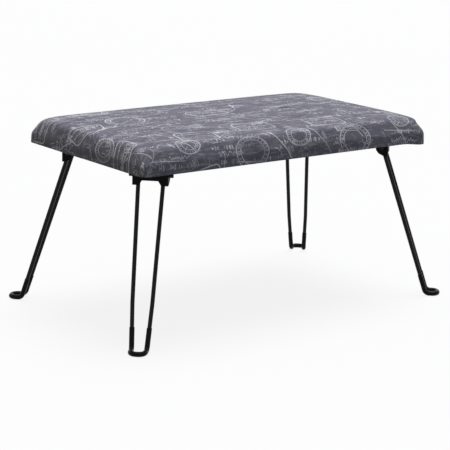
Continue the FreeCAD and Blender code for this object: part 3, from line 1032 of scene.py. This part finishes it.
class BENCH_OT_dust_cover(bpy.types.Operator):
    """Make the thin sheet that closes the underside of the seat"""

    bl_idname = "bench.dust_cover"
    bl_label = "Dust cover"

    def execute(self, context):
        seat = context.scene.bench.seat
        half_x = LINING_HI.x
        half_y = LINING_HI.y
        bm = bmesh.new()
        bmesh.ops.create_grid(
            bm, x_segments=LINING_CELLS[0], y_segments=LINING_CELLS[1], size=0.5,
            matrix=Matrix.Diagonal((2 * half_x, 2 * half_y, 1, 1)))
        for cut in LAP_CUTS:
            for normal, half in ((Vector((1, 0, 0)), HALF_X), (Vector((0, 1, 0)), HALF_Y)):
                for side in (-1, 1):
                    place = normal * side * (half - seat.hem - cut)
                    geom = bm.verts[:] + bm.edges[:] + bm.faces[:]
                    bmesh.ops.bisect_plane(bm, geom=geom, plane_co=place, plane_no=normal)
        for vert in bm.verts:
            x, y = round_corner(vert.co.x, vert.co.y, half_x, half_y, LINING_CORNER)
            vert.co = (x, y, lining_height(x, y, seat))
        obj = new_object("dust_cover_sheet", bm, 60)
        sheet = obj.modifiers.new("sheet", "SOLIDIFY")
        sheet.thickness = LINING_THICK
        sheet.offset = 0.0
        finish_piece(obj, "seat", "lining", bonded_lining(), "dust_cover")
        return {"FINISHED"}


# Legs

# Bend radii of the rod: at a pivot tip, the knee, the heel and the toe
BENDS = (8 * MM, 60 * MM, 12 * MM, 13.5 * MM)
# Turn of one step round a bend, in degrees
BEND_STEP = 10
# Rounding of the rod's cut ends
ROD_END = 0.8 * MM
# Air between a sleeve and its rod, and the rounding of the sleeve's rims
SLEEVE_PLAY = 0.03 * MM
SLEEVE_EDGE = 0.3 * MM


def sweep_rod(bm, corners, radii, radius, sides):
    """Round bar along the corners: straight runs drawn out and bends spun about their centres."""
    heading = (corners[1] - corners[0]).normalized()
    turned = heading.to_track_quat("Z", "Y").to_matrix().to_4x4()
    made = bmesh.ops.create_circle(
        bm, radius=radius, segments=sides, matrix=Matrix.Translation(corners[0]) @ turned)
    verts = made["verts"]
    edges = list({edge for vert in verts for edge in vert.link_edges})
    at = corners[0]
    for i, bend in enumerate(radii, 1):
        before = (corners[i] - corners[i - 1]).normalized()
        after = (corners[i + 1] - corners[i]).normalized()
        turn = before.angle(after)
        back = bend * math.tan(turn / 2)
        stop = corners[i] - before * back
        edges, verts = draw_out(bm, edges, stop - at)
        axis = before.cross(after).normalized()
        centre = stop + axis.cross(before) * bend
        spun = bmesh.ops.spin(
            bm, geom=verts + edges, cent=centre, axis=axis, angle=turn,
            steps=max(2, round(math.degrees(turn) / BEND_STEP)), use_merge=False,
            use_duplicate=False)["geom_last"]
        verts = [g for g in spun if isinstance(g, bmesh.types.BMVert)]
        edges = [g for g in spun if isinstance(g, bmesh.types.BMEdge)]
        at = corners[i] + after * back
    draw_out(bm, edges, corners[-1] - at)


def draw_out(bm, edges, shift):
    """Extrude a ring of edges by a shift, and return its new edges and points."""
    made = bmesh.ops.extrude_edge_only(bm, edges=edges)["geom"]
    verts = [g for g in made if isinstance(g, bmesh.types.BMVert)]
    bmesh.ops.translate(bm, verts=verts, vec=shift)
    return [g for g in made if isinstance(g, bmesh.types.BMEdge)], verts


def leg_line(leg, drop):
    """Corner points and bend radii of a leg's rod, about its pivot, outward along X."""
    heel_z = leg.rod / 2 + leg.sleeve_wall - drop
    down = Vector((leg.splay, 0, heel_z))
    side = [
        Vector((0, leg.tip, 0)),
        Vector((0, leg.half_top, 0)),
        down * leg.knee + Vector((0, leg.half_knee, 0)),
        Vector((leg.splay, leg.half_heel, heel_z)),
        Vector((leg.splay + leg.foot, leg.half_toe, heel_z)),
    ]
    other = [Vector((p.x, -p.y, p.z)) for p in reversed(side)]
    return side + other, BENDS + BENDS[::-1]


def corner_matrix(sign_x, sign_y, pivot):
    """Turn and place a form made about a pivot, outward along X, at its corner of the seat."""
    return Matrix.Translation(pivot) @ Matrix.Rotation(math.atan2(sign_y, sign_x), 4, "Z")


class BENCH_OT_legs(bpy.types.Operator):
    """Bend the four hairpin legs, each from one rod with its tips turned out as pivots"""

    bl_idname = "bench.legs"
    bl_label = "Hairpin legs"

    def execute(self, context):
        leg = context.scene.bench.leg
        # Rod drawn smooth, bent cold and coated: a satin black with a soft streak of light
        material = coated_steel(
            "Steel rod, bent and powder coated", context.scene.bench.colour.black, shine=0.15,
            roughness=0.3, peel_mm=1.6, depth_mm=0.08)
        for name, sign_x, sign_y, pivot in CORNERS:
            bm = bmesh.new()
            corners, radii = leg_line(leg, pivot.z)
            sweep_rod(bm, corners, radii, leg.rod / 2, leg.sides)
            ends = [e for e in bm.edges if e.is_boundary]
            bmesh.ops.holes_fill(bm, edges=ends)
            bmesh.ops.bevel(
                bm, geom=ends, offset=ROD_END, segments=2, profile=0.5, affect="EDGES",
                material=-1)
            bmesh.ops.recalc_face_normals(bm, faces=bm.faces)
            bmesh.ops.transform(bm, matrix=corner_matrix(sign_x, sign_y, pivot), verts=bm.verts)
            obj = new_object("hairpin_rod_" + name, bm, 40)
            finish_piece(obj, name + "_leg", "black_rod", material, "leg_" + name)
        return {"FINISHED"}


class BENCH_OT_sleeves(bpy.types.Operator):
    """Draw a soft sleeve over each foot loop"""

    bl_idname = "bench.sleeves"
    bl_label = "Foot sleeves"

    def execute(self, context):
        leg = context.scene.bench.leg
        material = soft_vinyl()
        for name, sign_x, sign_y, pivot in CORNERS:
            corners, radii = leg_line(leg, pivot.z)
            inner = corners[2:-2]
            inner[0] = inner[1] + (inner[0] - inner[1]).normalized() * leg.sleeve_rise
            inner[-1] = inner[-2] + (inner[-1] - inner[-2]).normalized() * leg.sleeve_rise
            bm = bmesh.new()
            sweep_rod(bm, inner, radii[2:-2], leg.rod / 2 + leg.sleeve_wall, leg.sides)
            bmesh.ops.recalc_face_normals(bm, faces=bm.faces)
            bmesh.ops.transform(bm, matrix=corner_matrix(sign_x, sign_y, pivot), verts=bm.verts)
            obj = new_object("soft_sleeve_" + name, bm, 40)
            wall = obj.modifiers.new("wall", "SOLIDIFY")
            wall.thickness = leg.sleeve_wall - SLEEVE_PLAY
            wall.offset = -1.0
            bevel_later(obj, SLEEVE_EDGE, 50)
            finish_piece(obj, name + "_leg", "black_sleeve", material, "foot_sleeve_" + name)
        return {"FINISHED"}


# Fixings

# Points closer than this are one, and faces that meet at less than this angle are one
WELD = 0.01 * MM
LEVEL = math.radians(2)
# Screw places on a bracket: outward and sideways from the pivot, in millimetres
SCREW_AT = ((-27, -20), (-27, 20), (-3, 0))
# Screw's head below the bracket: share of its radius, and depth in millimetres
PAN_HEAD = ((1.0, 0.0), (1.0, 0.9), (0.875, 1.9), (0.625, 2.4), (0.175, 2.6))
HEAD_TALL = PAN_HEAD[-1][1] * MM
# Radius of its shank
SHANK = 2 * MM
# Faces round a screw, and how deep its cross recess is sunk
SCREW_SIDES = 16
RECESS = 1.2 * MM
# Staples: inset of their row, and the length left free at its ends
STAPLE_INSET = 20 * MM
ROW_END = 30 * MM
# How far a staple strays by hand: along and across the row in millimetres, and in radians
STRAY_ALONG = 4
STRAY_ACROSS = 1.5
STRAY_TURN = 0.12
# Staple wire: thickness, width, length of a leg, and height of the leg's middle over the crown
WIRE_THICK = 0.55 * MM
WIRE_WIDE = 1.1 * MM
STAPLE_LEG = 4 * MM
STAPLE_UP = 2.2 * MM


class BENCH_OT_brackets(bpy.types.Operator):
    """Soften the pressed edges of the four leg brackets"""

    bl_idname = "bench.brackets"
    bl_label = "Leg brackets"

    def execute(self, context):
        fixing = context.scene.bench.fixing
        # Sheet steel, blanked and pressed, then coated: duller and rougher than the rod
        material = coated_steel(
            "Sheet steel, pressed and powder coated", linear("#050506"), shine=0.07,
            roughness=0.46, peel_mm=1.2, depth_mm=0.12)
        for name, _, _, _ in CORNERS:
            bm = bmesh.new()
            bm.from_mesh(FRAME["nodes"]["bracket_" + name].data)
            bmesh.ops.remove_doubles(bm, verts=bm.verts, dist=WELD)
            bmesh.ops.dissolve_limit(bm, angle_limit=LEVEL, verts=bm.verts, edges=bm.edges)
            obj = new_object("pressed_bracket_" + name, bm, 30)
            bevel_later(obj, fixing.edge)
            finish_piece(obj, "seat", "black_steel", material, "bracket_" + name)
        return {"FINISHED"}


class BENCH_OT_screws(bpy.types.Operator):
    """Drive three pan-head screws through each bracket"""

    bl_idname = "bench.screws"
    bl_label = "Bracket screws"

    def execute(self, context):
        head = context.scene.bench.fixing.head
        # Hardened screw steel with a black conversion coat: dull, a little brown in the light
        material = coated_steel(
            "Screw steel, black oxide", linear("#232122"), shine=0.2, roughness=0.5,
            peel_mm=0.8, depth_mm=0.03)
        for name, sign_x, sign_y, pivot in CORNERS:
            low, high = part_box("bracket_screws_" + name)
            under = low.z + HEAD_TALL
            bm = bmesh.new()
            for x, y in SCREW_AT:
                make_screw(bm, head, under, high.z, Vector((x * MM, y * MM, 0)))
            flat = Vector((pivot.x, pivot.y, 0))
            bmesh.ops.transform(bm, matrix=corner_matrix(sign_x, sign_y, flat), verts=bm.verts)
            bmesh.ops.recalc_face_normals(bm, faces=bm.faces)
            obj = new_object("pan_head_screws_" + name, bm, 40)
            finish_piece(obj, "seat", "black_screws", material, "bracket_screws_" + name)
        return {"FINISHED"}


def make_screw(bm, head, under, tip, place):
    """Pan-head screw hanging head down: domed head, cross recess and a plain shank."""
    rings = [(SHANK, under)]
    for share, depth in PAN_HEAD:
        rings.append((share * head / 2, under - depth * MM))
    made = bmesh.ops.create_circle(
        bm, cap_ends=True, radius=SHANK, segments=SCREW_SIDES,
        matrix=Matrix.Translation((place.x, place.y, tip)))
    verts = made["verts"]
    edges = [e for e in {e for v in verts for e in v.link_edges} if len(e.link_faces) == 1]
    for radius, z in rings:
        edges, verts = draw_out(bm, edges, Vector((0, 0, z - verts[0].co.z)))
        now = math.hypot(verts[0].co.x - place.x, verts[0].co.y - place.y)
        bmesh.ops.scale(
            bm, vec=(radius / now, radius / now, 1.0), verts=verts,
            space=Matrix.Translation((-place.x, -place.y, 0)))
    centre = bmesh.ops.holes_fill(bm, edges=edges)["faces"]
    rim = sorted(
        {f for e in edges for f in e.link_faces} - set(centre),
        key=lambda f: math.atan2(
            f.calc_center_median().y - place.y, f.calc_center_median().x - place.x))
    arms = rim[::SCREW_SIDES // 4]
    cross = bmesh.ops.extrude_face_region(bm, geom=centre + arms)["geom"]
    sunk = [g for g in cross if isinstance(g, bmesh.types.BMVert)]
    bmesh.ops.translate(bm, verts=sunk, vec=(0, 0, RECESS))


class BENCH_OT_staples(bpy.types.Operator):
    """Staple the dust cover and hem to the board all round"""

    bl_idname = "bench.staples"
    bl_label = "Staples"

    def execute(self, context):
        fixing = context.scene.bench.fixing
        draw = random.Random(4)
        bm = bmesh.new()
        for along, across, turn in ((HALF_X, HALF_Y, 0.0), (HALF_Y, HALF_X, math.pi / 2)):
            count = round(2 * (along - ROW_END) / fixing.pitch)
            for side in (-1, 1):
                for i in range(count):
                    stray = draw.uniform(-STRAY_ALONG, STRAY_ALONG) * MM
                    run = (i + 0.5 - count / 2) * fixing.pitch + stray
                    stray = draw.uniform(-STRAY_ACROSS, STRAY_ACROSS) * MM
                    off = side * (across - STAPLE_INSET + stray)
                    spot = Matrix.Rotation(turn, 4, "Z") @ Vector((run, off, 0))
                    stray = draw.uniform(-STRAY_TURN, STRAY_TURN)
                    make_staple(bm, fixing.staple, spot, turn + stray)
        obj = new_object("staples", bm, 40)
        finish_piece(obj, "seat", "", staple_wire())
        return {"FINISHED"}


def make_staple(bm, crown, spot, turn):
    """One staple: a flat wire crown pressed on the sheet, its two legs gone up into the board."""
    place = Matrix.Translation((spot.x, spot.y, LINING_LO.z - WIRE_THICK / 2))
    place = place @ Matrix.Rotation(turn, 4, "Z")
    bmesh.ops.create_cube(
        bm, size=1.0, matrix=place @ Matrix.Diagonal((crown, WIRE_WIDE, WIRE_THICK, 1)))
    for side in (-1, 1):
        leg = Matrix.Translation((side * (crown - WIRE_THICK) / 2, 0, STAPLE_UP))
        size = Matrix.Diagonal((WIRE_THICK, WIRE_WIDE, STAPLE_LEG, 1))
        bmesh.ops.create_cube(bm, size=1.0, matrix=place @ leg @ size)


# Stage

# Floor: half its width, and the share of its look that is white light instead of paint
FLOOR_HALF = 40.0
FLOOR_LIT = 0.86
# Camera: width of its sensor in millimetres, and how far it sees, past the floor's corners
SENSOR = 36.0
SIGHT = 200.0
# Light from all round: a little dimmer and warmer on the left than in front, and the places
# along X, on a ball round the bench, between which it changes
LIGHT_LEFT = "#c8c1ab"
LIGHT_FRONT = "#eef5ff"
LIGHT_TURN = (-0.9, 0.1)
# Overhead light: its direction from the bench, and how wide it looks from there
KEY_FROM = (0.22, 0.12, 1.0)
KEY_WIDE = math.radians(40)


class BENCH_OT_stage(bpy.types.Operator):
    """Set up the pale floor, the soft light and the camera"""

    bl_idname = "bench.stage"
    bl_label = "Studio"

    def execute(self, context):
        bench = context.scene.bench
        bm = bmesh.new()
        bmesh.ops.create_grid(bm, x_segments=1, y_segments=1, size=FLOOR_HALF)
        floor = new_object("studio_floor", bm)
        floor.data.materials.append(pale_floor(bench.colour.floor))
        context.scene.world = soft_world(bench.stage.fill)
        add_overhead(context.scene, bench.stage)
        add_camera(context.scene, bench.stage)
        context.scene.view_settings.view_transform = "Standard"
        return {"FINISHED"}


def soft_world(strength):
    """Light from all round: white to the eye and in gloss, and dim where it lights soft faces."""
    world = bpy.data.worlds.new("soft studio")
    world.use_nodes = True
    tree = world.node_tree
    tree.nodes.clear()
    around = add_node(tree, "ShaderNodeTexCoord").outputs["Generated"]
    split = add_node(tree, "ShaderNodeSeparateXYZ", {0: around})
    turn = add_node(tree, "ShaderNodeMapRange", {
        "Value": split.outputs["X"], "From Min": LIGHT_TURN[0], "From Max": LIGHT_TURN[1]})
    tint = add_node(tree, "ShaderNodeMix", {
        "Factor": turn.outputs[0], "A": linear(LIGHT_LEFT), "B": linear(LIGHT_FRONT)},
        data_type="RGBA")
    dim = add_node(tree, "ShaderNodeBackground", {
        "Color": tint.outputs["Result"], "Strength": strength})
    white = add_node(tree, "ShaderNodeBackground", {"Color": (1, 1, 1, 1), "Strength": 1.0})
    both = add_node(tree, "ShaderNodeMixShader", {
        0: seen_directly(tree), 1: dim.outputs[0], 2: white.outputs[0]})
    add_node(tree, "ShaderNodeOutputWorld", {"Surface": both.outputs[0]})
    return world


def add_overhead(scene, stage):
    """Wide soft light from overhead."""
    lamp = bpy.data.lights.new("overhead", "SUN")
    lamp.energy = stage.key
    lamp.angle = KEY_WIDE
    key = bpy.data.objects.new("overhead", lamp)
    key.rotation_mode = "QUATERNION"
    key.rotation_quaternion = Vector(KEY_FROM).to_track_quat("Z", "Y")
    scene.collection.objects.link(key)


def add_camera(scene, stage):
    """Camera at its place, turned by its heading, dip and roll."""
    camera = bpy.data.cameras.new("camera")
    camera.sensor_width = SENSOR
    camera.lens = stage.lens
    camera.clip_end = SIGHT
    eye = bpy.data.objects.new("camera", camera)
    eye.location = stage.camera
    eye.rotation_mode = "QUATERNION"
    ahead = Vector((
        math.sin(stage.heading) * math.cos(stage.dip),
        math.cos(stage.heading) * math.cos(stage.dip), -math.sin(stage.dip)))
    level = ahead.to_track_quat("-Z", "Y")
    eye.rotation_quaternion = level @ Matrix.Rotation(stage.roll, 3, "Z").to_quaternion()
    scene.collection.objects.link(eye)
    scene.camera = eye


def seen_directly(tree):
    """1 for rays from the camera and rays by way of gloss or glass, and 0 for soft light."""
    path = add_node(tree, "ShaderNodeLightPath").outputs
    gloss = add_node(tree, "ShaderNodeMath", {
        0: path["Is Camera Ray"], 1: path["Is Glossy Ray"]}, operation="MAXIMUM")
    return add_node(tree, "ShaderNodeMath", {
        0: gloss.outputs[0], 1: path["Is Transmission Ray"]}, operation="MAXIMUM").outputs[0]


def pale_floor(colour):
    """Matt painted studio floor: white to the eye, and grey to the light that it throws back.

    Most of the shadow is washed out for the eye, as on a brightly lit white sweep.
    """
    mat, tree = start_material("Studio paint, rolled")
    seen = seen_directly(tree)
    place = add_node(tree, "ShaderNodeTexCoord").outputs["Object"]
    # Clouds of tone some 1.7 m wide
    cloud = add_node(tree, "ShaderNodeTexNoise", {"Vector": place, "Scale": 0.6, "Detail": 1.0})
    tone = add_node(tree, "ShaderNodeMix", {
        "Factor": cloud.outputs["Fac"], "A": colour, "B": linear("#f6f6f6")}, data_type="RGBA")
    mixed = add_node(tree, "ShaderNodeMix", {
        "Factor": seen, "A": linear("#575757"), "B": tone.outputs["Result"]}, data_type="RGBA")
    paint = add_node(tree, "ShaderNodeBsdfPrincipled", {
        "Base Color": mixed.outputs["Result"], "Roughness": 0.95})
    glow = add_node(tree, "ShaderNodeEmission", {"Color": (1, 1, 1, 1), "Strength": 1.0})
    share = add_node(tree, "ShaderNodeMath", {0: seen, 1: FLOOR_LIT}, operation="MULTIPLY")
    both = add_node(tree, "ShaderNodeMixShader", {
        0: share.outputs[0], 1: paint.outputs[0], 2: glow.outputs[0]})
    add_node(tree, "ShaderNodeOutputMaterial", {"Surface": both.outputs[0]})
    return mat


class BENCH_PT_panel(bpy.types.Panel):
    """Panel that lists the bench's pieces"""

    bl_idname = "BENCH_PT_panel"
    bl_label = "Folding Bench"
    bl_space_type = "VIEW_3D"
    bl_region_type = "UI"
    bl_category = "Bench"

    def draw(self, context):
        for step in STEPS:
            self.layout.operator(step.bl_idname)
        for group in BenchSettings.__annotations__:
            settings = getattr(context.scene.bench, group)
            box = self.layout.box()
            for name in settings.__annotations__:
                box.prop(settings, name)


STEPS = (
    BENCH_OT_padded_seat, BENCH_OT_board, BENCH_OT_dust_cover, BENCH_OT_legs,
    BENCH_OT_sleeves, BENCH_OT_brackets, BENCH_OT_screws, BENCH_OT_staples, BENCH_OT_stage,
)
CLASSES = (
    SeatSizes, LegSizes, FixingSizes, FinishColours, StageSizes, BenchSettings, *STEPS,
    BENCH_PT_panel,
)


def register():
    for cls in CLASSES:
        bpy.utils.register_class(cls)
    bpy.types.Scene.bench = PointerProperty(type=BenchSettings)


def unregister():
    del bpy.types.Scene.bench
    for cls in reversed(CLASSES):
        bpy.utils.unregister_class(cls)


def main():
    register()
    for step in STEPS:
        group, name = step.bl_idname.split(".")
        getattr(getattr(bpy.ops, group), name)()


if __name__ == "__main__":
    main()
